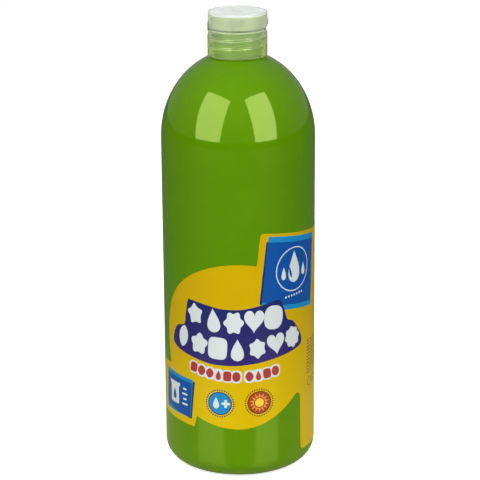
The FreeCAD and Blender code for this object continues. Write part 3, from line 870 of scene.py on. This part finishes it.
class PAINTBOTTLE_OT_banner(bpy.types.Operator):
    """The purple banner and its two rows of white shapes"""
    bl_idname = "paint_bottle.banner"
    bl_label = "Banner"

    def execute(self, context):
        colours = context.scene.paint_bottle_colours
        knots = [(-29.6, 99.6), (-27.0, 100.2), (-16.8, 98.6), (-10.3, 97.4), (-0.6, 97.1), (7.2, 98.1),
                 (14.4, 99.5), (21.0, 100.9), (23.6, 99.4), (25.8, 93.6), (27.6, 88.9), (31.4, 87.2),
                 (35.6, 81.6), (38.4, 76.4), (37.3, 72.4), (30.1, 70.3), (20.2, 68.6), (10.7, 67.1),
                 (0.0, 66.0), (-8.8, 65.8), (-16.2, 66.2), (-27.6, 68.4), (-36.5, 70.5), (-41.4, 72.9),
                 (-42.0, 76.2), (-40.4, 80.6), (-37.6, 83.9), (-32.4, 85.8), (-31.2, 92.0)]
        purple = ink_material("purple", colours.purple, colours.navy, 60.0 * MM, 104.0 * MM)
        printed("banner", [ink(loop_curve(knots, 10), 3)], purple)
        upper = [rays(5, 0.62), drop(), petals(6, 0.13), heart(), cushion(2.6)]
        lower = [leaf(), petals(5, 0.14, turn=0.5 * math.pi), cushion(4.0), drop(), rays(6, 0.68),
                 heart(), petals(8, 0.08)]
        shapes = []
        for i, shape in enumerate(upper):
            u = -24.8 + 10.9 * i
            shapes.append(patch(shape, (u, smile(u, 89.8, 0.0050)), 10.9, 13.2, 4, -0.25 * u))
        for i, shape in enumerate(lower):
            u = -33.2 + 10.7 * i
            shapes.append(patch(shape, (u, smile(u, 74.8, 0.0036)), 10.5, 12.3, 4, 0.3 * u))
        printed("banner_shapes", shapes, *inks(colours, "white"))
        return {"FINISHED"}


class PAINTBOTTLE_OT_dots(bpy.types.Operator):
    """The row of red dots with white rims, in two groups, under the banner"""
    bl_idname = "paint_bottle.dots"
    bl_label = "Red dots"

    def execute(self, context):
        white, red = inks(context.scene.paint_bottle_colours, "white", "red")
        across = list(-26.0 + 4.85 * np.arange(6)) + list(5.2 + 4.85 * np.arange(4))
        kinds = (cushion(4.0, 40), round_shape(40), cushion(1.6, 40), drop(40))
        rims, dots = [], []
        for i, u in enumerate(across):
            centre = (u, smile(u, 59.7, 0.0046))
            rims.append(patch(cushion(3.0, 40), centre, 5.9, 7.2, 1))
            dots.append(patch(kinds[i % 4], centre, 4.4, 5.6, 3, 0.4 * u))
        printed("dot_rims", rims, white)
        printed("red_dots", dots, red)
        return {"FINISHED"}


def badge(name, centre, rim, face, dots):
    """A round badge: a thin rim, a face on it, and a ring of dots round both."""
    ring = [patch(round_shape(10), (centre[0] + BADGE_RING * math.cos(a),
                                    centre[1] + BADGE_RING * math.sin(a)), BADGE_DOT, BADGE_DOT, 0)
            for a in angles(BADGE_DOTS)]
    printed(name + "_rim", [patch(round_shape(), centre, BADGE_RIM, BADGE_RIM, 0)], rim)
    printed(name + "_face", [patch(round_shape(), centre, BADGE_FACE, BADGE_FACE, 1)], face)
    printed(name + "_dots", ring, dots)


class PAINTBOTTLE_OT_badges(bpy.types.Operator):
    """The two round badges: a drop and a cross on blue, and a sun on dark red"""
    bl_idname = "paint_bottle.badges"
    bl_label = "Badges"

    def execute(self, context):
        white, navy, azure, rust, ember, orange, gold = inks(
            context.scene.paint_bottle_colours, "white", "navy", "badge", "rust", "ember", "orange", "gold")
        badge("blue_badge", (-10.8, 44.2), navy, azure, navy)
        signs = [patch(drop(), (-12.9, 44.5), 5.0, 6.6, 2),
                 patch(cushion(6.0, 40), (-7.6, 44.2), 4.6, 1.5, 2),
                 patch(cushion(6.0, 40), (-7.6, 44.2), 1.5, 4.6, 3)]
        printed("blue_badge_signs", signs, white)
        sun = (10.6, 44.6)
        badge("sun_badge", sun, rust, ember, rust)
        printed("sun_badge_rays", [patch(rays(14, 0.52, softness=0.10), sun, 11.4, 11.4, 2)], orange)
        printed("sun_badge_ring", [patch(round_shape(), sun, 6.2, 6.2, 3)], ember)
        printed("sun_badge_disc", [patch(round_shape(), sun, 4.9, 4.9, 4)], gold)
        return {"FINISHED"}


def plain_lines(left, right, top, rows, pitch, thickness):
    """Rows of plain dashes in a block: each row has dashes of uneven lengths in place of words."""
    shapes = []
    for row in range(rows):
        u, step = left, row
        while u < right - 1.0:
            width = min(2.2 + 2.6 * abs(math.sin(2.4 * step + 1.1 * row)), right - u)
            shapes.append(patch(cushion(8.0, 16), (u + width / 2.0, top - pitch * row),
                                width, thickness, 0))
            u += width + 0.8
            step += 1
    return shapes


class PAINTBOTTLE_OT_fine_lines(bpy.types.Operator):
    """Blocks of plain fine lines on the side and back of the label"""
    bl_idname = "paint_bottle.fine_lines"
    bl_label = "Fine lines"

    def execute(self, context):
        brown, = inks(context.scene.paint_bottle_colours, "brown")
        rings = [ink_ring((u, 48.0), 5.2, 4.2, 0) for u in (47.6, 54.0, 60.4)]
        printed("side_lines", plain_lines(44.4, 76.0, 72.0, 11, 1.85, 0.62) + rings, brown)
        printed("back_lines", plain_lines(88.0, 140.0, 118.0, 16, 2.2, 0.7), brown)
        return {"FINISHED"}


class PAINTBOTTLE_OT_washer(bpy.types.Operator):
    """The foam washer between the mouth and the deck"""
    bl_idname = "paint_bottle.washer"
    bl_label = "Sealing washer"

    def execute(self, context):
        low, high = LINER_LOW.z, LINER_HIGH.z
        profile = rounded([(LINER_HOLE, low, FINE_EDGE), (LINER_RADIUS, low, FINE_EDGE),
                           (LINER_RADIUS, high, FINE_EDGE), (LINER_HOLE, high, FINE_EDGE)], True)
        ring = grid(turned(profile[:, 0], profile[:, 1], 128), loop_rows=True)
        washer = make_piece("foam_washer", [ring], foam_material(context.scene.paint_bottle_colours),
                            "seal")
        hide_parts("liner_washer")
        return {"FINISHED"}


def resampled(profile, low, high, radius, step):
    """Adds rows up a wall of a profile: where two neighbours at the radius span the heights low
    to high, the stretch between them is cut into steps."""
    pieces = [profile[:1]]
    for a, b in zip(profile[:-1], profile[1:]):
        at_radius = max(abs(a[0] - radius), abs(b[0] - radius)) < 0.001 * MM
        long = at_radius and abs(b[1] - a[1]) > 2.0 * step and low <= (a[1] + b[1]) / 2.0 <= high
        pieces.append(straight(a, b, step)[1:] if long else b[None])
    return np.vstack(pieces)


class PAINTBOTTLE_OT_closure(bpy.types.Operator):
    """The closure's base: threaded skirt, deck, seat ring and nozzle, with scoop and hinge flat"""
    bl_idname = "paint_bottle.closure"
    bl_label = "Closure base"

    def execute(self, context):
        sizes = context.scene.paint_bottle_sizes
        bore_top = DECK_BOTTOM - EDGE
        lead_in = SKIRT_BOTTOM + SKIRT_LEAD_IN
        outside = rounded([
            (SKIRT_BORE, lead_in, 0.0), (SKIRT_BORE + SKIRT_LEAD_IN, SKIRT_BOTTOM, FINE_EDGE),
            (CAP_RADIUS, SKIRT_BOTTOM, EDGE), (CAP_RADIUS, DECK, RIM_EDGE), (SEAT_RADIUS, DECK, FINE_EDGE),
            (SEAT_RADIUS, DECK + SEAT_HEIGHT, SEAT_EDGE),
            (SEAT_RADIUS - SEAT_WIDTH, DECK + SEAT_HEIGHT, SEAT_EDGE),
            (SEAT_RADIUS - SEAT_WIDTH, DECK, FINE_EDGE), (NOZZLE_RADIUS, DECK, NOZZLE_FOOT),
            (NOZZLE_RADIUS, NOZZLE_TOP, NOZZLE_EDGE),
            (ORIFICE_RADIUS + ORIFICE_CHAMFER, NOZZLE_TOP, FINE_EDGE),
            (ORIFICE_RADIUS, NOZZLE_TOP - ORIFICE_CHAMFER, FINE_EDGE),
            (ORIFICE_RADIUS, DECK_BOTTOM, FINE_EDGE), (SKIRT_BORE, DECK_BOTTOM, FINE_EDGE),
            (SKIRT_BORE, bore_top, 0.0)], False)
        outside = resampled(outside, SKIRT_BOTTOM + EDGE, DECK - EDGE, CAP_RADIUS, 0.5 * MM)
        bore = straight((SKIRT_BORE, bore_top), (SKIRT_BORE, lead_in), sizes.thread_rows)[1:-1]
        profile = np.vstack([outside, bore])
        theta, z, radius = spread(profile, sizes.columns)
        start, angle = thread_start()
        on_bore = np.arange(len(profile))[:, None] >= len(outside)
        radius = radius - on_bore * ridge(theta, z, start - CAP_THREAD_DROP, angle, CAP_THREAD_TURNS,
                                          THREAD_HEIGHT, CAP_THREAD_ROOT, CAP_THREAD_CREST)
        places = turned(radius, profile[:, 1], sizes.columns)
        below = np.clip(DECK - places[..., 2], 0.0, SCOOP_RADIUS)
        scoop = CAP_RADIUS + SCOOP_RADIUS - SCOOP_DEPTH - np.sqrt(SCOOP_RADIUS ** 2 - below ** 2)
        flat = np.where(places[..., 2] > WEB_LOW.z - HINGE_FLAT_DROP, HINGE_FLAT, -CAP_RADIUS)
        places[..., 0] = np.maximum(np.minimum(places[..., 0], scoop), flat)
        base = make_piece("closure_skirt", [grid(places, loop_rows=True)],
                          closure_material(context.scene.paint_bottle_colours, True),
                          "closure")
        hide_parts("closure_base")
        return {"FINISHED"}


class PAINTBOTTLE_OT_lid(bpy.types.Operator):
    """The lid: turned shell with its plug, thumb lip, hinge flat and a gate mark in its top"""
    bl_idname = "paint_bottle.lid"
    bl_label = "Flip lid"

    def execute(self, context):
        sizes = context.scene.paint_bottle_sizes
        ceiling = LID_CROWN - LID_TOP
        gate = LID_CROWN - sizes.gate
        skin = rounded([
            (GATE_RADIUS, gate, 0.0), (GATE_RADIUS + EDGE, LID_CROWN, 0.2 * MM),
            (CAP_RADIUS, LID_CROWN, LID_EDGE), (CAP_RADIUS, LID_RIM, RIM_EDGE),
            (LID_BORE, LID_RIM, PLUG_EDGE),
            (LID_BORE, ceiling, LID_CORNER), (PLUG_RADIUS, ceiling, EDGE),
            (PLUG_RADIUS, PLUG_LAND, 0.2 * MM), (PLUG_RADIUS - PLUG_TAPER, PLUG_TIP, PLUG_EDGE),
            (PLUG_BORE, PLUG_TIP, PLUG_EDGE), (PLUG_BORE, ceiling, 0.2 * MM), (0.3 * MM, ceiling, 0.0)],
            False, steps=7)
        skin = resampled(skin, LID_RIM + EDGE, LID_CROWN - LID_EDGE, CAP_RADIUS, EDGE)
        theta, z, radius = spread(skin, sizes.columns)
        turn = np.abs(np.mod(theta + math.pi, 2.0 * math.pi) - math.pi)
        across = ease((LIP_HALF_ANGLE - turn) / LIP_FADE)
        up = np.minimum((z - LIP_BOTTOM) / (0.5 * MM), (LIP_BOTTOM + LIP_HEIGHT - z) / (2.0 * MM))
        on_side = radius > CAP_RADIUS - 0.01 * MM
        radius = radius + on_side * LIP_REACH * across * ease(up)
        places = turned(radius, skin[:, 1], sizes.columns)
        places[..., 0] = np.maximum(places[..., 0], HINGE_FLAT)
        lid = make_piece("lid_shell", [grid(places, first_pole=on_axis(gate), last_pole=on_axis(ceiling))],
                         closure_material(context.scene.paint_bottle_colours, False),
                         "lid")
        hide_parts("flip_lid")
        return {"FINISHED"}


class PAINTBOTTLE_OT_hinge(bpy.types.Operator):
    """The living hinge: a strap with a thin waist"""
    bl_idname = "paint_bottle.hinge"
    bl_label = "Living hinge"

    def execute(self, context):
        z = np.linspace(WEB_LOW.z, WEB_HIGH.z, STRAP_ROWS)
        groove = np.sqrt(np.clip(WEB_GROOVE_RADIUS ** 2 - (z - DECK) ** 2, 0.0, None))
        depth = WEB_HIGH.x - WEB_LOW.x - WEB_WAIST
        inner = WEB_HIGH.x - np.clip(groove - (WEB_GROOVE_RADIUS - depth), 0.0, None)
        section = np.vstack([np.stack([inner, z], -1), np.stack([np.full_like(z, WEB_LOW.x), z[::-1]], -1)])
        y = np.array([WEB_LOW.y, WEB_LOW.y + STRAP_HOLD, 0.0, WEB_HIGH.y - STRAP_HOLD, WEB_HIGH.y])
        x, across, height = np.broadcast_arrays(section[None, :, 0], y[:, None], section[None, :, 1])
        middle = WEB_LOW.x + 0.25 * WEB_WAIST
        strap = grid(np.stack([x, across, height], -1), first_pole=(middle, y[0], DECK),
                     last_pole=(middle, y[-1], DECK))
        web = make_piece("hinge_strap", [strap], closure_material(context.scene.paint_bottle_colours, False),
                         None)
        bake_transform(web)
        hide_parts("hinge_web")
        return {"FINISHED"}


# ==== Stage ====
CAMERA_PLACE = (0.0, -0.98419, 0.42069)
CAMERA_TARGET = (0.00067, 0.0, 0.12308)
CAMERA_ROLL = math.radians(-0.3756)
CAMERA_LENS = 142.67
CAMERA_SENSOR = 36.0
CAMERA_CLIP = (0.05, 20.0)
FLOOR_RADII = (6.0, 0.3, STAND_INNER_RADIUS)
FLOOR_GLOW = 0.58
GLOW_THROUGH_FLOOR = 0.6
GLOW_THROUGH_SKY = 0.8
SKY_SIDE, SKY_TOP = 0.30, 0.38
SKY_EASE = (0.35, 0.9)
# Distances from the axis between which a value of the floor changes, and its two ends.
FLOOR_ROUGHNESS = (0.18, 0.32, 0.16, 0.9)
FLOOR_CARD = (0.10, 0.24, 1.0, 0.0)
# Each softbox: name, azimuth from the front, width, the distance from the axis and the height of its
# lower and of its upper edge, and radiance.
SOFTBOXES = (
    ("softbox_left", math.radians(-45.4), 0.8, (1.18, 0.16), (0.71, 1.11), 5.5),
    ("softbox_right", math.radians(41.3), 0.7, (1.197, 0.157), (0.707, 1.15), 6.0),
    ("softbox_back", math.pi, 0.4, (1.0, 0.44), (0.94, 0.78), 1.5),
)


def aimed(place, target, roll):
    """A matrix at place whose -Z looks at target, rolled by an angle about that line."""
    turn = (Vector(target) - Vector(place)).to_track_quat("-Z", "Y").to_matrix().to_4x4()
    return Matrix.Translation(place) @ turn @ Matrix.Rotation(roll, 4, "Z")


def softbox(name, azimuth, width, bottom, top, radiance):
    """A rectangular light at an azimuth from the front. bottom and top are the distance from the
    bottle's axis and the height of its lower and upper edges, and it faces the bottle square on."""
    bottom, top = np.asarray(bottom, float), np.asarray(top, float)
    height = float(np.linalg.norm(top - bottom))
    distance, middle = (bottom + top) / 2.0
    lean = (top - bottom) / height
    light = bpy.data.lights.new(name, "AREA")
    light.shape, light.size, light.size_y = "RECTANGLE", width, height
    light.energy = radiance * math.pi * width * height
    outward = Vector((math.sin(azimuth), -math.cos(azimuth), 0.0))
    up = outward * lean[0] + Vector((0.0, 0.0, lean[1]))
    side = Vector((0.0, 0.0, 1.0)).cross(outward)
    turn = Matrix((side, up, side.cross(up))).transposed().to_4x4()
    lamp = bpy.data.objects.new(name, light)
    lamp.matrix_world = Matrix.Translation(outward * distance + Vector((0.0, 0.0, middle))) @ turn
    bpy.context.scene.collection.objects.link(lamp)


def studio_world():
    """Soft light from all round, easing from SKY_SIDE at the sides to SKY_TOP overhead, and brighter
    where it is seen through clear plastic."""
    world = bpy.data.worlds.new("studio")
    world.use_nodes = True
    tree = world.node_tree
    background = tree.nodes["Background"]
    background.inputs["Color"].default_value = (1.0, 1.0, 1.0, 1.0)
    where = add_node(tree, "ShaderNodeTexCoord")
    split = add_node(tree, "ShaderNodeSeparateXYZ")
    level = ramp(tree, *SKY_EASE, SKY_SIDE, SKY_TOP)
    seen = add_node(tree, "ShaderNodeLightPath")
    through = calculation(tree, "MULTIPLY", second=GLOW_THROUGH_SKY)
    most = calculation(tree, "MAXIMUM")
    wire(tree, (where, "Generated", split, "Vector"), (split, "Z", level, "Value"),
         (seen, "Is Transmission Ray", through, 0), (level, "Result", most, 0),
         (through, "Value", most, 1), (most, "Value", background, "Strength"))
    return world


def floor_material():
    """Floor: white and glowing to the camera, nearly so through clear plastic, and to other light a
    yellowish card near the bottle, greyer and rougher further off. It is clear from below."""
    material, tree, shader = new_material("floor_card", IOR=1.8, Specular_Tint=(0.9, 1.0, 0.35, 1.0),
                                          Emission_Strength=FLOOR_GLOW)
    where = add_node(tree, "ShaderNodeTexCoord")
    away = add_node(tree, "ShaderNodeVectorMath", operation="LENGTH")
    rough = ramp(tree, *FLOOR_ROUGHNESS)
    near = ramp(tree, *FLOOR_CARD)
    seen = add_node(tree, "ShaderNodeLightPath")
    direct = calculation(tree, "MULTIPLY_ADD", second=GLOW_THROUGH_FLOOR)
    card, pale = (add_node(tree, "ShaderNodeMix", data_type="RGBA") for _ in range(2))
    card.inputs["A"].default_value = (0.10, 0.10, 0.10, 1.0)
    card.inputs["B"].default_value = (0.50, 0.50, 0.22, 1.0)
    pale.inputs["B"].default_value = (0.95, 0.95, 0.95, 1.0)
    below = add_node(tree, "ShaderNodeNewGeometry")
    hidden = calculation(tree, "SUBTRACT", 1.0)
    wire(tree, (where, "Object", away, 0), (away, "Value", rough, "Value"),
         (rough, "Result", shader, "Roughness"), (away, "Value", near, "Value"),
         (seen, "Is Transmission Ray", direct, 0), (seen, "Is Camera Ray", direct, 2),
         (near, "Result", card, "Factor"), (card, "Result", pale, "A"),
         (direct, "Value", pale, "Factor"), (pale, "Result", shader, "Base Color"),
         (direct, "Value", shader, "Emission Color"), (below, "Backfacing", hidden, 1),
         (hidden, "Value", shader, "Alpha"))
    return material


class PAINTBOTTLE_OT_stage(bpy.types.Operator):
    """Pale floor, open under the base's dome, leaning softboxes, soft light overhead and the camera"""
    bl_idname = "paint_bottle.stage"
    bl_label = "Stage"

    def execute(self, context):
        scene = context.scene
        radii = np.repeat(np.array(FLOOR_RADII)[:, None], 96, axis=1)
        points, quads, _ = grid(turned(radii, np.zeros(len(FLOOR_RADII)), 96))
        mesh = bpy.data.meshes.new("floor")
        mesh.from_pydata(points, [], quads)
        mesh.materials.append(floor_material())
        floor = bpy.data.objects.new("floor", mesh)
        scene.collection.objects.link(floor)
        for box in SOFTBOXES:
            softbox(*box)
        scene.world = studio_world()
        scene.view_settings.view_transform = "Standard"
        camera = bpy.data.objects.new("camera", bpy.data.cameras.new("camera"))
        camera.data.lens, camera.data.sensor_width = CAMERA_LENS, CAMERA_SENSOR
        camera.data.clip_start, camera.data.clip_end = CAMERA_CLIP
        camera.matrix_world = aimed(CAMERA_PLACE, CAMERA_TARGET, CAMERA_ROLL)
        scene.collection.objects.link(camera)
        scene.camera = camera
        return {"FINISHED"}


class PAINTBOTTLE_PT_panel(bpy.types.Panel):
    """Lists the pieces, the sizes and the colours"""
    bl_idname = "PAINTBOTTLE_PT_panel"
    bl_label = "Paint Bottle"
    bl_space_type = "VIEW_3D"
    bl_region_type = "UI"
    bl_category = "Paint Bottle"

    def draw(self, context):
        layout = self.layout
        for operator in OPERATORS:
            layout.operator(operator.bl_idname, text=operator.bl_label)
        for group in (context.scene.paint_bottle_sizes, context.scene.paint_bottle_colours):
            for key in group.__annotations__:
                layout.prop(group, key)


OPERATORS = (
    PAINTBOTTLE_OT_stage, PAINTBOTTLE_OT_bottle, PAINTBOTTLE_OT_paint, PAINTBOTTLE_OT_film,
    PAINTBOTTLE_OT_panels, PAINTBOTTLE_OT_banner, PAINTBOTTLE_OT_dots, PAINTBOTTLE_OT_badges,
    PAINTBOTTLE_OT_fine_lines, PAINTBOTTLE_OT_washer, PAINTBOTTLE_OT_closure, PAINTBOTTLE_OT_lid,
    PAINTBOTTLE_OT_hinge,
)
CLASSES = (PaintBottleColours, PaintBottleSizes, *OPERATORS, PAINTBOTTLE_PT_panel)


def register():
    for each in CLASSES:
        bpy.utils.register_class(each)
    bpy.types.Scene.paint_bottle_colours = bpy.props.PointerProperty(type=PaintBottleColours)
    bpy.types.Scene.paint_bottle_sizes = bpy.props.PointerProperty(type=PaintBottleSizes)


def unregister():
    del bpy.types.Scene.paint_bottle_sizes
    del bpy.types.Scene.paint_bottle_colours
    for each in reversed(CLASSES):
        bpy.utils.unregister_class(each)


def main():
    """Builds every piece and the stage."""
    register()
    for operator in OPERATORS:
        group, call = operator.bl_idname.split(".")
        getattr(getattr(bpy.ops, group), call)()


if __name__ == "__main__":
    main()
